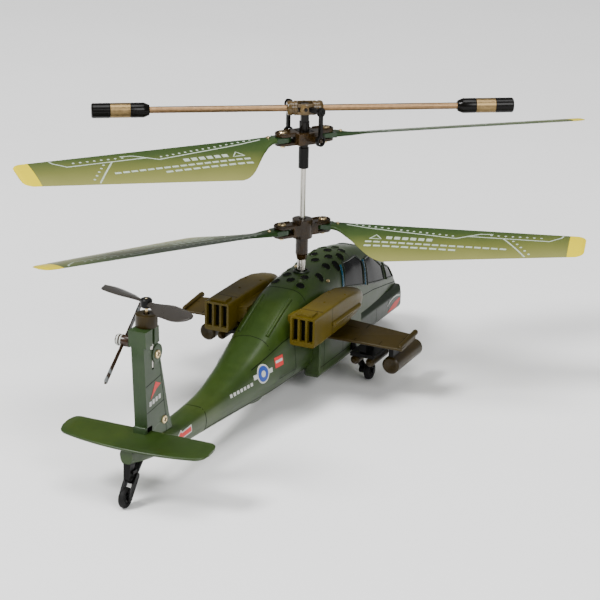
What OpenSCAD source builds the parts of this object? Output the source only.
// Coaxial toy helicopter: +X is the nose, +Y is port, +Z is up.
// The origin is on the rotor mast's axis, on the ground that the three wheels stand on.

/* [Rotors] */
// Radius of the lower rotor, mast to blade tip
lower_r = 89.5; // [86:0.5:92]
// Radius of the upper rotor, mast to blade tip
upper_r = 94; // [88:0.5:96]
// Height of the lower rotor's blades above the ground
lower_z = 50; // [49:0.5:51]
// Height of the upper rotor's blades above the ground
upper_z = 79.5; // [76:0.5:84]
// Height of the flybar above the upper rotor's blades
flybar_rise = 9; // [8.5:0.5:10]
// Half of the flybar's length
flybar_half = 65; // [60:1:70]
// Widest chord of a main blade
blade_chord = 22.5; // [18:0.5:23]
// Chord of a main blade at its tip
tip_chord = 12.5; // [10:0.5:14]
// Radius of the lifting propeller on the fin
tail_prop_r = 18; // [15:0.5:18.5]

/* [Rest pose of the rotors, degrees from the nose] */
// Direction of the lower hub's first arm
lower_hub_deg = -34; // [-34:1:-34]
// Swing of lower blade A from its arm
lower_a_swing = -42; // [-45:1:10]
// Swing of lower blade B from its arm
lower_b_swing = 3; // [-45:1:10]
// Direction of the upper holder's first arm
upper_deg = -36; // [-36:1:-36]
// Swing of upper blade A from its arm
upper_a_swing = -12; // [-14:1:45]
// Swing of upper blade B from its arm
upper_b_swing = -2; // [-14:1:45]
// Direction of the flybar
flybar_deg = -57; // [-57:1:-57]
// Direction of the first ball link
link_deg = -112; // [-112:1:-112]

/* [Body] */
// Thickness of the moulded shell
wall = 1.2; // [1:0.1:1.4]
// Half of the wing span
wing_half = 38; // [36:0.5:40]
// Half of the tailplane span
stab_half = 23; // [20:0.5:25]
// Distance of a main wheel from the centre line
track_half = 20; // [19:0.5:21]
// Diameter of the wheels
wheel_d = 6; // [5.5:0.1:6.4]

/* [Gears] */
// Size of a gear tooth: pitch diameter over number of teeth
gear_module = 0.35; // [0.35:0.01:0.35]
// Teeth on each main gear
gear_teeth = 48; // [48:1:48]
// Teeth on each motor pinion
pinion_teeth = 9; // [9:1:9]

/* [Hidden] */
$fn = 32;

GREEN = "darkolivegreen";
TAN = "#7c6a2a";
SMOKE = "#4a4034";
BLADE = "#4f6b35";

eps = 0.02;          // the gap that keeps two glued pieces from sharing space
fit = 0.05;          // radial clearance of a running fit
shaft_r = 0.85;      // the inner shaft
tube_r = 1.3;        // the outer shaft
grip_r = 7.4;        // mast to blade screw
screw_r = 0.7;       // blade screw
ear_t = 1.6;         // thickness of a blade's root ear
slot_h = 2.0;        // height of the slot that holds it
link_r = 7.3;        // mast to the balls of the links
flybar_z = upper_z + flybar_rise;
axle_r = 0.6;
wheel_x = 10;
tail_wheel_x = -111.5;
tail_x = -99.3;      // axis of the lifting propeller
tail_motor_z = 48;   // underside of the tail motor's housing
prop_z = 56.2;
gear_r = gear_module * gear_teeth / 2;
pinion_r = gear_module * pinion_teeth / 2;
motor_x = gear_r + pinion_r + 0.05;
motor_r = 3.5;
motor_z = 18.7;      // underside of the drive motors
motor_h = 12.3;
lower_gear_z = 14;
upper_gear_z = 10;
gear_h = 2.2;
socket_x = -26;      // charging socket, in the port side
socket_z = 14.5;
socket_r = 2.5;

// Fuselage stations: x, bottom, height of the widest line, top, half width, top ratio, bottom ratio
STATIONS = [
    [-111, 12.8, 15.4, 17.2, 2.0, 0.80, 0.80],
    [-100, 10.6, 14.0, 16.8, 3.1, 0.85, 0.80],
    [-84, 8.8, 12.4, 15.8, 3.9, 0.90, 0.85],
    [-65.5, 7.8, 12.0, 16.6, 4.8, 0.90, 0.85],
    [-50, 7.4, 12.6, 19.8, 6.8, 0.86, 0.80],
    [-34, 7.2, 13.0, 26.0, 9.2, 0.86, 0.75],
    [-18, 7.0, 13.5, 32.8, 10.4, 0.88, 0.70],
    [-8, 6.6, 13.5, 35.2, 10.6, 0.86, 0.72],
    [6, 5.8, 13.5, 36.2, 10.8, 0.82, 0.75],
    [20, 5.6, 13.5, 37.2, 10.8, 0.78, 0.80],
    [26, 5.6, 13.5, 36.4, 10.8, 0.76, 0.80],
    [36, 5.6, 13.3, 34.4, 10.6, 0.74, 0.80],
    [43, 5.6, 13.0, 31.4, 10.3, 0.74, 0.80],
    [50, 5.7, 12.5, 27.4, 9.8, 0.76, 0.80],
    [57, 6.1, 11.5, 22.0, 9.2, 0.80, 0.80],
    [59.4, 6.4, 10.8, 17.0, 8.8, 0.86, 0.84],
    [62, 7.0, 10.4, 13.6, 7.0, 0.90, 0.86]];
RING = 24;           // points round one station
SQUARE = 3.8;        // how boxy the sections are: 2 is an ellipse

function signed_pow(v, p) = sign(v) * pow(abs(v), p);
function blend(a, b, t) = a + (b - a) * t;

// One closed ring of points: centre height zm, top zt, bottom zb, half width hw
function ring(x, zb, zm, zt, hw, top_ratio, bottom_ratio, power, cy = 0) = [
    for (i = [0 : RING - 1])
        let (a = 360 * (i + 0.5) / RING,
             up = signed_pow(sin(a), 2 / power),
             side = signed_pow(cos(a), 2 / power),
             ratio = blend(1, up > 0 ? top_ratio : bottom_ratio, abs(up)))
        [x, cy + hw * side * ratio, zm + up * (up > 0 ? zt - zm : zm - zb)]];

// A closed solid through rings that all have the same number of points
module loft(rings) {
    n = len(rings[0]);
    last = len(rings) - 1;
    first_cap = [for (i = [0 : n - 1]) i];
    last_cap = [for (i = [n - 1 : -1 : 0]) last * n + i];
    sides = [for (k = [0 : last - 1], i = [0 : n - 1]) each [
        [k * n + i, (k + 1) * n + i, k * n + (i + 1) % n],
        [k * n + (i + 1) % n, (k + 1) * n + i, (k + 1) * n + (i + 1) % n]]];
    polyhedron(points = [for (r = rings) each r], faces = concat([first_cap, last_cap], sides));
}

// The fuselage's outer form, grown by t; trim leaves out that many stations at each end
module body_form(t = 0, trim = 0) {
    loft([for (k = [trim : len(STATIONS) - 1 - trim]) let (s = STATIONS[k])
        ring(s[0], s[1] - t, s[2], s[3] + t, s[4] + t, s[5], s[6], SQUARE)]);
}

module slab(x0, x1, y0, y1, z0, z1) { translate([x0, y0, z0]) cube([x1 - x0, y1 - y0, z1 - z0]); }

// A piece that sits on the fuselage: it stops at the fuselage's skin
module on_body() {
    difference() {
        children();
        body_form(eps);
    }
}

// The side profile extruded across the body, from y0 to y1
module side_plate(y0, y1, profile) {
    translate([0, y1, 0]) rotate([90, 0, 0]) linear_extrude(y1 - y0) polygon(profile);
}

module port_or_starboard(side) { if (side > 0) children(); else mirror([0, 1, 0]) children(); }

/* ---- fuselage ---- */

CANOPY_SIDE = [[23, 26.5], [25, 40], [64, 40], [64, 17.4], [57.5, 18.4], [49, 20.4], [36, 22.6]];
ROOF_SIDE = [[-13, 32], [-13, 42], [23.5, 42], [22.2, 32]];

module canopy_region(grow = 0) {
    translate([0, 20, 0]) rotate([90, 0, 0]) linear_extrude(40) offset(delta = grow)
        polygon(CANOPY_SIDE);
}
module roof_region(grow = 0) {
    translate([0, 20, 0]) rotate([90, 0, 0]) linear_extrude(40) offset(delta = grow)
        polygon(ROOF_SIDE);
}

fairing_y = 12.9;    // flat side of the step that carries the wing and the main gear

// The step under the engine pods and the long equipment fairing ahead of it
module side_fairing() {
    difference() {
        union() {
            hull() {
                slab(-12.5, 19, 8, fairing_y, 7.6, 21.4);
                slab(-11.5, 18, 7, fairing_y - 1.3, 6.0, 22.4);
            }
            hull() {
                slab(19, 54.5, 7, 11.6, 10.0, 14.8);
                slab(19, 57, 6, 10.2, 8.4, 16.4);
            }
        }
        body_form(-wall, 1);
    }
}

module belly_bump() {
    difference() {
        translate([-36, 0, 9]) scale([8, 5, 4.6]) sphere(1, $fn = 24);
        body_form(-wall, 1);
    }
}

module ridge() {
    hull() {
        translate([-33.5, 4.7, 25.6]) sphere(0.6, $fn = 12);
        translate([-17.4, 4.7, 32.5]) sphere(0.6, $fn = 12);
    }
}

module half_shell() {
    difference() {
        union() {
            body_form();
            side_fairing();
            belly_bump();
            ridge();
        }
        body_form(-wall, 1);
        canopy_region(eps);
        roof_region(eps);
        slab(-120, 70, -20, 0, 0, 45);
        // relief for the larger of the two drive gears, which nearly fills the shell
        translate([0, 0, upper_gear_z - 0.3]) cylinder(r = gear_r + gear_module + 0.25, h = gear_h + 0.6);
        // half of the switch slot in the belly
        slab(-28.6, -22.4, -1, 1.3, 4, 10);
    }
}
module left_shell() {
    color(GREEN) difference() {
        half_shell();
        translate([socket_x, 0, socket_z]) rotate([-90, 0, 0]) cylinder(r = socket_r + eps, h = 14);
    }
}
module right_shell() { color(GREEN) mirror([0, 1, 0]) half_shell(); }

module roof_panel() {
    color(GREEN) difference() {
        intersection() {
            body_form();
            roof_region(-eps);
        }
        body_form(-wall, 1);
        cylinder(r = tube_r + 0.5, h = 60);
        for (x = [-8, 8, 14], y = [-3.4, 3.4])
            translate([x, y, 30]) scale([1.5, 1, 1]) cylinder(r = 1.1, h = 12);
        for (x = [5.5, 11.5, 18])
            translate([x, 0, 30]) scale([1.5, 1, 1]) cylinder(r = 1.1, h = 12);
    }
}

module canopy_glass() {
    color([0.12, 0.14, 0.16]) difference() {
        intersection() {
            body_form();
            canopy_region(-eps);
        }
        body_form(-0.9, 1);
    }
}

// Bars between the panes, standing on the glass
module canopy_frame() {
    color("#2f4a34") difference() {
        intersection() {
            body_form(0.45);
            canopy_region(-0.3);
            union() {
                for (x = [27, 38.5, 50]) translate([x, 0, 0]) rotate([0, -10, 0]) slab(0, 1.1, -20, 20, 0, 50);
                slab(20, 66, -0.6, 0.6, 0, 50);
                difference() {
                    canopy_region(-0.3);
                    canopy_region(-1.2);
                }
            }
        }
        body_form(eps);
    }
}

module nose_sensor() {
    color("#33402c") difference() {
        translate([60.6, 0, 9.2]) rotate([90, 0, 0]) cylinder(r = 3.2, h = 7, center = true);
        body_form(eps);
        translate([60.6, 0, 9.2]) rotate([90, 0, 0]) cylinder(r = 1, h = 8, center = true);
    }
}

/* ---- engine pods, wings and stores ---- */

pod_y = 14.5;
// x, bottom, top, half width, boxiness
POD = [[-29.5, 22.9, 32.1, 4.1, 14], [-26, 22.9, 32.3, 4.2, 14], [-6, 23.2, 32.4, 4.2, 12],
    [1, 23.8, 32.0, 4.2, 6], [6, 24.4, 31.2, 3.9, 3], [9, 25.4, 30.2, 2.8, 2.2]];
SLOT_Y = [-2.5, 0, 2.5];

module pod() {
    color(TAN) difference() {
        union() {
            loft([for (p = POD) ring(p[0], p[1], (p[1] + p[2]) / 2, p[2], p[3], 1, 1, p[4], pod_y)]);
            // half-round rail outside, stub to the body inside, raised cover on the rear top
            hull() {
                translate([-16, pod_y + 4.3, 26.6]) sphere(0.9, $fn = 12);
                translate([3.4, pod_y + 3.9, 26.6]) sphere(0.9, $fn = 12);
            }
            slab(-24, 2, 7, pod_y - 3, 25, 30);
            slab(-28.6, -24.4, pod_y - 2.6, pod_y + 2.6, 32, 32.9);
        }
        body_form(eps);
        for (y = SLOT_Y) slab(-31, -25, pod_y + y - 0.9, pod_y + y + 0.9, 24.4, 31.4);
    }
}
module left_pod() { pod(); }
module right_pod() { mirror([0, 1, 0]) pod(); }

module pod_grilles() {
    color("black") for (side = [-1, 1]) port_or_starboard(side) for (y = SLOT_Y)
        slab(-28, -25 - eps, pod_y + y - 0.9 + eps, pod_y + y + 0.9 - eps, 24.4 + eps, 31.4 - eps);
}

// Edges of the wing: x, height and radius of the trailing and the leading edge
WING_ROOT = [[-9.6, 19.6, 0.5], [4.3, 20.4, 0.9]];
WING_TIP = [[-7.6, 18.7, 0.4], [2.4, 19.7, 0.7]];

module wing() {
    color(TAN) {
        hull() {
            for (e = WING_ROOT) translate([e[0], fairing_y + eps, e[1]]) rotate([-90, 0, 0])
                cylinder(r = e[2], h = 0.1);
            for (e = WING_TIP) translate([e[0], wing_half, e[1]]) rotate([-90, 0, 0])
                cylinder(r = e[2], h = 0.1);
        }
        // rounded end plate
        hull() {
            translate([-7.5, wing_half - 0.6, 19.6]) sphere(0.7, $fn = 12);
            translate([4.4, wing_half - 0.6, 20.6]) sphere(0.9, $fn = 12);
        }
    }
}
module left_wing() { wing(); }
module right_wing() { mirror([0, 1, 0]) wing(); }

rocket_y = 32;
rocket_z = 10.6;
rocket_r = 2.8;
MISSILE_Y = [20.8, 25.9];
missile_z = 11.2;
missile_r = 1.4;

module rack() {
    color("#1c1a16") {
        difference() {
            slab(-3.6, 3.2, 22.4, 24.3, 13.2, 19.5);
            wing();
        }
        slab(-4.4, 6.4, MISSILE_Y[0] - 1.4, MISSILE_Y[1] + 1.4, 12.6 + eps, 13.8);
        difference() {
            slab(-1.6, 3.0, rocket_y - 0.8, rocket_y + 0.8, rocket_z + 2, 19.2);
            wing();
            translate([-5, rocket_y, rocket_z]) rotate([0, 90, 0]) cylinder(r = rocket_r + eps, h = 30);
        }
    }
}
module left_rack() { rack(); }
module right_rack() { mirror([0, 1, 0]) rack(); }

module missile() {
    rotate([0, 90, 0]) rotate_extrude($fn = 24) polygon([[0, 0], [0.7, 0], [0.9, 0.5], [missile_r, 1.2],
        [missile_r, 12.6], [1.0, 14.4], [0.4, 15.4], [0, 15.6]]);
}
module missiles() {
    color(TAN) for (side = [-1, 1]) port_or_starboard(side) for (y = MISSILE_Y)
        translate([-5, y, missile_z]) missile();
}

module rocket_pod() {
    color("#5c4d22") difference() {
        translate([-2, rocket_y, rocket_z]) rotate([0, 90, 0]) rotate_extrude() polygon([[0, 0.5],
            [2.2, 0], [rocket_r, 0.5], [rocket_r, 19.5], [2.2, 20.6], [0, 20.6]]);
        // tube mouths in the front face
        for (a = [0 : 60 : 300]) translate([17, rocket_y + 1.5 * cos(a), rocket_z + 1.5 * sin(a)])
            rotate([0, 90, 0]) cylinder(r = 0.5, h = 4, $fn = 16);
        translate([17, rocket_y, rocket_z]) rotate([0, 90, 0]) cylinder(r = 0.5, h = 4, $fn = 16);
    }
}
module left_rocket_pod() { rocket_pod(); }
module right_rocket_pod() { mirror([0, 1, 0]) rocket_pod(); }

/* ---- tail ---- */

fin_top = 49.4;
FIN_SIDE = [[-102.4, 19.0], [-104.8, fin_top], [-98, fin_top], [-95.8, 42], [-90.4, 22], [-87.6, 14.5],
    [-98, 14.5], [-100.6, 16.2], [-100.6, 19.0]];
FIN_SCREWS = [[-97.4, 41], [-93, 20]];     // x and height, starboard side
dummy_x = -102.8;    // axis of the decorative tail rotor
dummy_z = 45.4;

module fin_half() {
    color(GREEN) on_body() difference() {
        union() {
            side_plate(0, 2.0, FIN_SIDE);
            translate([-97.2, 0, 41.2]) rotate([-90, 0, 0]) cylinder(r = 2.7, h = 2.3);
            side_plate(0, 2.7, [[-104.5, 44.6], [-104.8, fin_top], [-97.2, fin_top], [-96.9, 44.6]]);
        }
        // seat of the tail motor and the slot that shows its can
        translate([tail_x, 0, 37]) cylinder(r = 2.05, h = 20);
        slab(tail_x - 1.5, tail_x - 0.3, 0, 4, 43, fin_top + 1);
        for (p = FIN_SCREWS) translate([p[0], -1, p[1]]) rotate([-90, 0, 0]) cylinder(r = 0.8 + eps, h = 6);
        slab(-110, -80, -1, 0, 0, 60);
    }
}
module fin_left() {
    difference() {
        fin_half();
        translate([dummy_x, -1, dummy_z]) rotate([-90, 0, 0]) cylinder(r = axle_r + eps, h = 12);
    }
}
module fin_right() { mirror([0, 1, 0]) fin_half(); }

module stabilator() {
    color(GREEN) difference() {
        union() {
            translate([-101.2, 0, 19.4]) rotate([0, -8, 0]) translate([0, 0, -1.2]) linear_extrude(1.2)
                offset(2.2) polygon([[-1.2, -stab_half + 2.2], [-1.2, stab_half - 2.2],
                    [-5.8, stab_half - 2.2], [-8.2, 12], [-8.8, 0], [-8.2, -12], [-5.8, -stab_half + 2.2]]);
            slab(-108, -102, -1.6, 1.6, 16, 18.4);
        }
        body_form(eps);
        // notch round the foot of the fin
        slab(-105, -90, -2 - eps, 2 + eps, 10, 30);
    }
}

module tail_motor_housing() {
    color("#3a3020") difference() {
        translate([tail_x, 0, fin_top + eps]) cylinder(r = 3.1, h = 3.6);
        translate([tail_x, 0, tail_motor_z]) cylinder(r = 2.05, h = 4.2);
        translate([tail_x, 0, tail_motor_z]) cylinder(r = 0.9, h = 9);
    }
}
module tail_motor() {
    color("silver") difference() {
        translate([tail_x, 0, 37.6]) cylinder(r = 2, h = 14.4);
        translate([tail_x, 0, 46]) cylinder(r = 0.4 + fit, h = 9);
    }
}

PROP_DEG = -111;
module tail_prop() {
    color("#3b3836") translate([tail_x, 0, prop_z]) {
        translate([0, 0, -1.4]) cylinder(r = 1.6, h = 2.6);
        translate([0, 0, -8]) cylinder(r = 0.4, h = 7);
        for (a = [0, 180]) rotate([0, 0, PROP_DEG + a]) rotate([9, 0, 0]) translate([0, 0, -0.3])
            linear_extrude(0.6) hull() {
                translate([1, 0]) circle(1.0);
                translate([9, -0.4]) circle(3.4);
                translate([tail_prop_r - 2.2, 0]) circle(2.2);
            }
    }
}

module dummy_tail_rotor() {
    color("#2b241c") translate([dummy_x, 0, dummy_z]) {
        translate([0, 0.3, 0]) rotate([-90, 0, 0]) cylinder(r = axle_r, h = 4);
        translate([0, 3, 0]) rotate([-90, 0, 0]) cylinder(r = 1.6, h = 4.2);
        for (a = [0, 180]) translate([0, 5, 0]) rotate([0, a - 40, 0]) rotate([90, 0, 0])
            translate([0, 0, -0.3]) linear_extrude(0.6) hull() {
                translate([1, 0]) circle(0.7);
                translate([13, 0]) circle(1.0);
            }
    }
}

/* ---- landing gear ---- */

module gear_leg() {
    color("black") {
        hull() {
            translate([12, fairing_y + eps, 9.6]) rotate([-90, 0, 0]) cylinder(r = 1.5, h = 0.5);
            translate([wheel_x + 0.4, track_half - 2.6, 4]) sphere(1.1, $fn = 16);
        }
        translate([wheel_x, track_half - 3.2, wheel_d / 2]) rotate([-90, 0, 0]) cylinder(r = 1.2, h = 1.9);
        translate([wheel_x, track_half - 1.4, wheel_d / 2]) rotate([-90, 0, 0]) cylinder(r = axle_r, h = 2.6);
        translate([wheel_x, track_half + 1.15, wheel_d / 2]) rotate([-90, 0, 0]) cylinder(r = 1.0, h = 0.5);
    }
}
module left_gear_leg() { gear_leg(); }
module right_gear_leg() { mirror([0, 1, 0]) gear_leg(); }

module wheel(width) {
    color("black") rotate([90, 0, 0]) difference() {
        rotate_extrude() polygon([[0, -width / 2], [wheel_d / 2 - 0.5, -width / 2],
            [wheel_d / 2, -width / 2 + 0.5], [wheel_d / 2, width / 2 - 0.5],
            [wheel_d / 2 - 0.5, width / 2], [0, width / 2]]);
        cylinder(r = axle_r + fit, h = width + 1, center = true);
    }
}
module left_wheel() { translate([wheel_x, track_half, wheel_d / 2]) wheel(2); }
module right_wheel() { translate([wheel_x, -track_half, wheel_d / 2]) wheel(2); }

fork_y = 1.15;
module tail_gear() {
    color("black") difference() {
        union() {
            hull() {
                translate([-103.5, 0, 12]) sphere(1.4, $fn = 16);
                translate([-108.4, 0, 7.2]) sphere(1.2, $fn = 16);
            }
            for (side = [-1, 1]) translate([0, side * (fork_y + 0.3), 0]) hull() {
                translate([-108.2, 0, 7.4]) rotate([90, 0, 0]) cylinder(r = 1.0, h = 0.6, center = true);
                translate([tail_wheel_x, 0, wheel_d / 2]) rotate([90, 0, 0])
                    cylinder(r = 0.9, h = 0.6, center = true);
            }
            translate([tail_wheel_x, 0, wheel_d / 2]) rotate([90, 0, 0])
                cylinder(r = axle_r, h = 2 * fork_y + 0.8, center = true);
            translate([-107.2, 0, 8]) rotate([90, 0, 0]) cylinder(r = 1, h = 2 * fork_y + 0.8, center = true);
        }
        body_form(eps);
    }
}
module tail_wheel() { translate([tail_wheel_x, 0, wheel_d / 2]) wheel(1.8); }

module body_screws() {
    color("#c8b483") for (k = [0, 1]) translate([FIN_SCREWS[k][0], 0, FIN_SCREWS[k][1]]) rotate([90, 0, 0]) {
        face = k == 0 ? 2.3 : 2.0;
        start = k == 0 ? 1.72 : -1.4;    // the upper screw stops short of the tail motor
        translate([0, 0, start]) cylinder(r = 0.8, h = face - start + eps);
        translate([0, 0, face + eps]) cylinder(r = 1.15, h = 0.35);
    }
}

/* ---- rotors ---- */

// Chord and pitch of a main blade at radius r: narrow root, quick swell, straight taper
root_r = 10.4;       // where the blade leaves its root ear
swell_r = 30;        // where it is widest
upper_pitch = 15;    // of the upper blades just outside the root
lower_pitch = 12;    // of the lower blades there
washout = 1;         // loss of pitch from there to the tip
lead = 2.5;          // leading edge in front of the blade screw
blade_t = 0.9;
lower_rise = 1.8;    // how far the lower blades climb towards their tips
function swell(t) = t * t * (3 - 2 * t);
function chord(r, tip) = r < swell_r
    ? blend(2 * lead, blade_chord, swell(max(0, (r - root_r) / (swell_r - root_r))))
    : blend(blade_chord, tip_chord, (r - swell_r) / (tip - swell_r));
function pitch(r, tip, root_pitch) = r < 16
    ? blend(0, root_pitch, swell(max(0, (r - root_r) / (16 - root_r))))
    : blend(root_pitch, root_pitch - washout, (r - 16) / (tip - 16));
function blade_stations(tip) = [root_r, 12, 13.8, 16, 19, 22, 25, swell_r, 40, 55, 70, 82, tip - 1, tip];

// One blade section: a thin lens hung from its leading edge, which is at +y
function section(r, tip, rise, root_pitch) =
    let (c = chord(r, tip) * (r == tip ? 0.9 : 1), p = pitch(r, tip, root_pitch))
    [for (q = [[0, 0], [-0.12, 0.5], [-0.5, 0.62], [-1, 0.2], [-1, 0], [-0.5, -0.3], [-0.12, -0.38]])
        let (y = q[0] * c, z = q[1] * blade_t)
        [r, lead + y * cos(p) - z * sin(p),
            0.2 * p / root_pitch + rise * (r - root_r) / tip + y * sin(p) + z * cos(p)]];

// A blade lies along +x with the mast at the origin; hand is 1 when the leading edge is at +y
module blade(hand, tip, rise, root_pitch) {
    color(BLADE) mirror([0, hand < 0 ? 1 : 0, 0]) difference() {
        union() {
            loft([for (r = blade_stations(tip)) section(r, tip, rise, root_pitch)]);
            translate([grip_r, 0, -ear_t / 2]) cylinder(r = lead, h = ear_t);
            slab(grip_r, root_r + 0.3, -lead, lead, -ear_t / 2, ear_t / 2);
        }
        translate([grip_r, 0, -3]) cylinder(r = screw_r + fit, h = 6);
    }
}

// Turns a blade about its screw
module swung(arm_deg, swing) {
    rotate([0, 0, arm_deg]) translate([grip_r, 0, 0]) rotate([0, 0, swing]) translate([-grip_r, 0, 0])
        children();
}

module lower_blade_a() { translate([0, 0, lower_z]) swung(lower_hub_deg, lower_a_swing) blade(1, lower_r, lower_rise, lower_pitch); }
module lower_blade_b() { translate([0, 0, lower_z]) swung(lower_hub_deg + 180, lower_b_swing) blade(1, lower_r, lower_rise, lower_pitch); }
module upper_blade_a() { translate([0, 0, upper_z]) swung(upper_deg, upper_a_swing) blade(-1, upper_r, 0, upper_pitch); }
module upper_blade_b() { translate([0, 0, upper_z]) swung(upper_deg + 180, upper_b_swing) blade(-1, upper_r, 0, upper_pitch); }

grip_t = 0.8;        // thickness of one grip plate
grip_h = slot_h + 2 * grip_t;

// Two-armed blade grip: a bar with an open slot at each end
module grips() {
    difference() {
        linear_extrude(grip_h, center = true) hull() for (s = [-1, 1]) translate([s * grip_r, 0]) circle(lead);
        for (s = [-1, 1]) translate([s * (grip_r - lead - 0.6 + 10), 0, 0]) cube([20, 12, slot_h], center = true);
        for (s = [-1, 1]) translate([s * grip_r, 0, 0]) cylinder(r = screw_r, h = 10, center = true);
    }
}
module grip_screws() {
    for (s = [-1, 1]) translate([s * grip_r, 0, 0]) {
        translate([0, 0, -grip_h / 2 - 0.9]) cylinder(r = screw_r - 0.005, h = grip_h + 0.9 + eps);
        translate([0, 0, grip_h / 2 + eps / 2]) cylinder(r = 1.3, h = 0.7);
    }
}

module lower_hub() {
    color(SMOKE) difference() {
        translate([0, 0, lower_z]) union() {
            rotate([0, 0, lower_hub_deg]) grips();
            translate([0, 0, -2.8]) cylinder(r = 3.2, h = 5.9);
            translate([0, 0, -8.1]) cylinder(r = 1.95, h = 6);
            translate([0, 0, -10]) cylinder(r1 = 1.5, r2 = 1.95, h = 2);
        }
        cylinder(r = tube_r, h = lower_z - 1);
        cylinder(r = shaft_r + 0.25, h = 80);
    }
}
module lower_grip_screws() {
    color("#b59a63") translate([0, 0, lower_z]) rotate([0, 0, lower_hub_deg]) grip_screws();
}

module outer_shaft() {
    color("silver") difference() {
        translate([0, 0, 13]) cylinder(r = tube_r - 0.005, h = lower_z - 1 - 13 - eps);
        cylinder(r = shaft_r + fit, h = 80);
    }
}
module inner_shaft() {
    color("silver") translate([0, 0, 7.8]) cylinder(r = shaft_r, h = upper_z - 1 - 7.8);
}

module mast_sleeve() {
    color("black") difference() {
        translate([0, 0, upper_z - 10]) cylinder(r = 1.6, h = 6.6);
        translate([0, 0, upper_z - 12]) cylinder(r = shaft_r + 0.005, h = 12);
    }
}

// Head on the inner shaft: lower neck, body with the feathering pin, fork for the flybar's pin
head_r = 2.4;
pin_r = 0.5;
ball_r = 0.8;        // balls of the two links
module rotor_head() {
    color("#201c18") difference() {
        union() {
            translate([0, 0, upper_z - 3.4 + eps]) cylinder(r = 1.4, h = 3);
            translate([0, 0, upper_z - 1.4]) rotate([0, 0, upper_deg]) translate([-1.9, -2, 0]) cube([3.8, 4, 3.2]);
            rotate([0, 0, upper_deg]) translate([0, 0, upper_z]) rotate([0, 90, 0])
                cylinder(r = pin_r, h = 7.2, center = true);
            translate([0, 0, upper_z + 1.6]) cylinder(r = 1.6, h = 3.2);
            rotate([0, 0, flybar_deg]) translate([-1.2, -1.3, upper_z + 3.6])
                cube([2.4, 2.6, flybar_rise - 3.6 + 1.4]);
            rotate([0, 0, flybar_deg + 90]) translate([0, 0, flybar_z]) rotate([0, 90, 0])
                cylinder(r = pin_r, h = 6.4, center = true);
        }
        translate([0, 0, upper_z - 5]) cylinder(r = shaft_r + 0.005, h = 4);
    }
}

// Blade holder of the upper rotor: rocks about its own length on the head's pin
module upper_holder() {
    color(SMOKE) difference() {
        translate([0, 0, upper_z]) union() {
            rotate([0, 0, upper_deg]) grips();
            rotate([0, 0, upper_deg]) cube([7.6, 7.4, grip_h], center = true);
            for (a = [0, 180]) rotate([0, 0, link_deg + a]) {
                translate([2.6, -0.7, -0.7]) cube([link_r - 3.4, 1.4, 1.4]);
                translate([link_r - 0.9, 0, 0]) rotate([0, 90, 0]) cylinder(r = 0.45, h = 0.9);
                translate([link_r, 0, 0]) sphere(ball_r);
            }
        }
        // window for the head and bore for its pin
        translate([0, 0, upper_z]) rotate([0, 0, upper_deg]) cube([4.6, 4.9, 12], center = true);
        translate([0, 0, upper_z]) rotate([0, 0, upper_deg]) rotate([0, 90, 0])
            cylinder(r = pin_r + fit, h = 7.5, center = true);
    }
}
module upper_grip_screws() {
    color("#b59a63") translate([0, 0, upper_z]) rotate([0, 0, upper_deg]) grip_screws();
}

rod_r = 1.0;
module flybar_hub() {
    color("#6a5636") difference() {
        translate([0, 0, flybar_z]) union() {
            rotate([0, 0, flybar_deg]) cube([11, 5.2, 3.4], center = true);
            for (a = [0, 180]) rotate([0, 0, link_deg + a]) {
                translate([2, -0.7, -0.7]) cube([link_r - 2.8, 1.4, 1.4]);
                translate([link_r - 0.9, 0, 0]) rotate([0, 90, 0]) cylinder(r = 0.45, h = 0.9);
                translate([link_r, 0, 0]) sphere(ball_r);
            }
        }
        // window for the head's fork, bore for its pin and seats for the rod
        translate([0, 0, flybar_z]) rotate([0, 0, flybar_deg]) cube([4.4, 3.2, 8], center = true);
        translate([0, 0, flybar_z]) rotate([0, 0, flybar_deg + 90]) rotate([0, 90, 0])
            cylinder(r = pin_r + fit, h = 12, center = true);
        flybar_rods(rod_r + 0.005);
    }
}
module flybar_rods(r) {
    translate([0, 0, flybar_z]) for (a = [0, 180]) rotate([0, 0, flybar_deg + a]) translate([3.2, 0, 0])
        rotate([0, 90, 0]) cylinder(r = r, h = flybar_half - 6 - 3.2);
}
module flybar_rod() { color("#7a6238") flybar_rods(rod_r); }
module flybar_weights() {
    color("black") difference() {
        translate([0, 0, flybar_z]) for (a = [0, 180]) rotate([0, 0, flybar_deg + a])
            translate([flybar_half - 17.6, 0, 0]) rotate([0, 90, 0]) rotate_extrude() polygon([[0, 0],
                [1.5, 0], [2.3, 1.7], [2.3, 17.2], [1.9, 17.6], [0, 17.6]]);
        flybar_rods(rod_r + 0.005);
    }
}

// Flat rod: a closed cup on the flybar's ball and a looser cup on the holder's ball
module link() {
    color("black") translate([link_r, 0, 0]) difference() {
        union() {
            translate([0, 0, flybar_z]) rotate([0, 90, 0]) cylinder(r = 1.4, h = 1, center = true);
            translate([-0.5, -0.5, upper_z + 1]) cube([1, 1, flybar_rise - 2]);
            translate([0, 0, upper_z]) rotate([0, 90, 0]) cylinder(r = 1.7, h = 1, center = true);
        }
        translate([0, 0, flybar_z]) sphere(ball_r + fit);
        translate([0, 0, upper_z]) rotate([0, 90, 0]) cylinder(r = ball_r + 0.3, h = 4, center = true);
    }
}
module link_a() { rotate([0, 0, link_deg]) link(); }
module link_b() { rotate([0, 0, link_deg + 180]) link(); }

/* ---- drive and electrics ---- */

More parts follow.
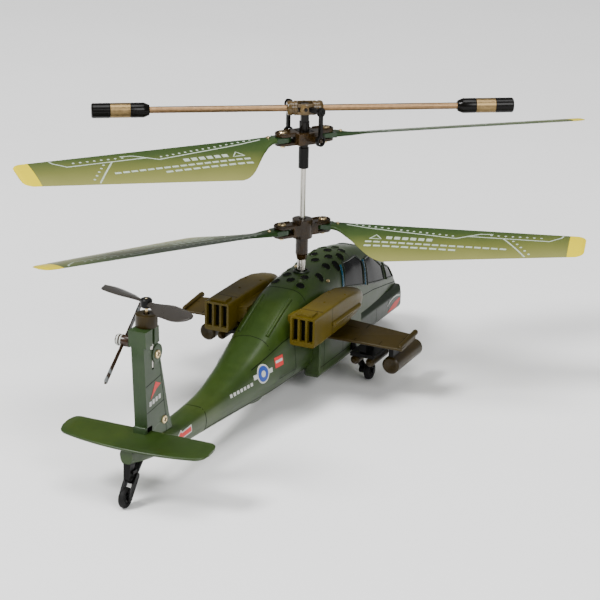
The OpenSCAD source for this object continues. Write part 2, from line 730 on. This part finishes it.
module main_frame() {
    color("#222222") difference() {
        intersection() {
            union() {
                slab(-15, 15, -5.5, 5.5, 7.6, 9);
                slab(-15, 15, -5.5, 5.5, 17.2, motor_z);
                slab(-15, 15, -3.4, 3.4, 32.2, 33.6);
                for (s = [-1, 1]) translate([s * 14.4, 0, 20.6]) cube([1.2, 6.8, 26], center = true);
            }
            body_form(-wall - 0.15, 1);
        }
        translate([0, 0, 7]) cylinder(r = 1.9, h = 12);
        translate([0, 0, 31]) cylinder(r = 1.9, h = 4);
        for (s = [-1, 1]) translate([s * motor_x, 0, 16]) cylinder(r = 1, h = 4);
    }
}
module shaft_bushes() {
    color("goldenrod") {
        difference() {
            translate([0, 0, 7.6]) cylinder(r = 1.9 - 0.005, h = 1.4);
            translate([0, 0, 7]) cylinder(r = shaft_r + fit, h = 3);
        }
        for (z = [17.2, 32.2]) difference() {
            translate([0, 0, z]) cylinder(r = 1.9 - 0.005, h = 1.4);
            translate([0, 0, z - 1]) cylinder(r = tube_r + fit, h = 4);
        }
    }
}

// Spur gear outline with n teeth: straight flanks, thinned for running clearance
function tooth(n, i) = let (r = gear_module * n / 2, step = 360 / n, a = i * step) [
    [r - 1.2 * gear_module, a - 0.30 * step], [r + 0.85 * gear_module, a - 0.11 * step],
    [r + 0.85 * gear_module, a + 0.11 * step], [r - 1.2 * gear_module, a + 0.30 * step]];
module spur(n, h) {
    linear_extrude(h) polygon([for (i = [0 : n - 1]) each [for (p = tooth(n, i)) p[0] * [cos(p[1]), sin(p[1])]]]);
}

module gear_lower() {
    color("ivory") difference() {
        translate([0, 0, lower_gear_z]) spur(gear_teeth, gear_h);
        cylinder(r = tube_r, h = 40);
        for (a = [0 : 60 : 300]) rotate([0, 0, a]) translate([5, 0, 0]) cylinder(r = 1.6, h = 40);
    }
}
module gear_upper() {
    color("ivory") difference() {
        translate([0, 0, upper_gear_z]) spur(gear_teeth, gear_h);
        cylinder(r = shaft_r + 0.005, h = 40);
        for (a = [0 : 60 : 300]) rotate([0, 0, a]) translate([5, 0, 0]) cylinder(r = 1.6, h = 40);
    }
}

module motor(x) {
    color("silver") difference() {
        translate([x, 0, motor_z + eps]) cylinder(r = motor_r, h = motor_h);
        translate([x, 0, motor_z - 1]) cylinder(r = 0.4 + fit, h = 10);
    }
}
module motor_front() { motor(motor_x); }
module motor_rear() { motor(-motor_x); }

module pinion(x, z, first_tooth) {
    color("goldenrod") translate([x, 0, 0]) {
        translate([0, 0, z]) rotate([0, 0, first_tooth]) spur(pinion_teeth, gear_h);
        translate([0, 0, z + 0.5]) cylinder(r = 0.4, h = motor_z + 6 - z);
    }
}
module pinion_front() { pinion(motor_x, lower_gear_z, 0); }
module pinion_rear() { pinion(-motor_x, upper_gear_z, 180); }

module battery() { color("silver") slab(20, 44, -7, 7, 8.4, 13.6); }
module circuit_board() {
    color("seagreen") {
        slab(20, 46, -6.6, 6.6, 15, 16);
        slab(24, 30, -4, 2, 16, 17.4);
        slab(34, 38, -1, 4, 16, 17);
    }
}

module charge_socket() {
    color("#151515") translate([socket_x, 0, socket_z]) rotate([-90, 0, 0]) difference() {
        translate([0, 0, 2.6]) cylinder(r = socket_r, h = 7.2);
        translate([0, 0, 5.4]) cylinder(d = 2.6, h = 10);
    }
}

module power_switch() {
    color("black") {
        slab(-27.2, -23.8, -1.2, 1.2, 8.6, 10.4);
        slab(-26.2, -24.8, -0.9, 0.9, 6.6, 8.7);
    }
}
module status_lamp() { color("red") translate([47, 0, 16]) cylinder(r = 1.4, h = 3); }

/* ---- nodes ---- */
left_shell();
right_shell();
roof_panel();
canopy_glass();
canopy_frame();
nose_sensor();
left_pod();
right_pod();
pod_grilles();
left_wing();
right_wing();
left_rack();
right_rack();
missiles();
left_rocket_pod();
right_rocket_pod();
fin_left();
fin_right();
stabilator();
left_gear_leg();
right_gear_leg();
left_wheel();
right_wheel();
tail_gear();
tail_wheel();
body_screws();
outer_shaft();
inner_shaft();
lower_hub();
upper_holder();
rotor_head();
mast_sleeve();
lower_blade_a();
lower_blade_b();
upper_blade_a();
upper_blade_b();
lower_grip_screws();
upper_grip_screws();
flybar_hub();
flybar_rod();
flybar_weights();
link_a();
link_b();
tail_motor_housing();
tail_motor();
tail_prop();
dummy_tail_rotor();
main_frame();
shaft_bushes();
gear_lower();
gear_upper();
motor_front();
motor_rear();
pinion_front();
pinion_rear();
battery();
circuit_board();
charge_socket();
power_switch();
status_lamp();
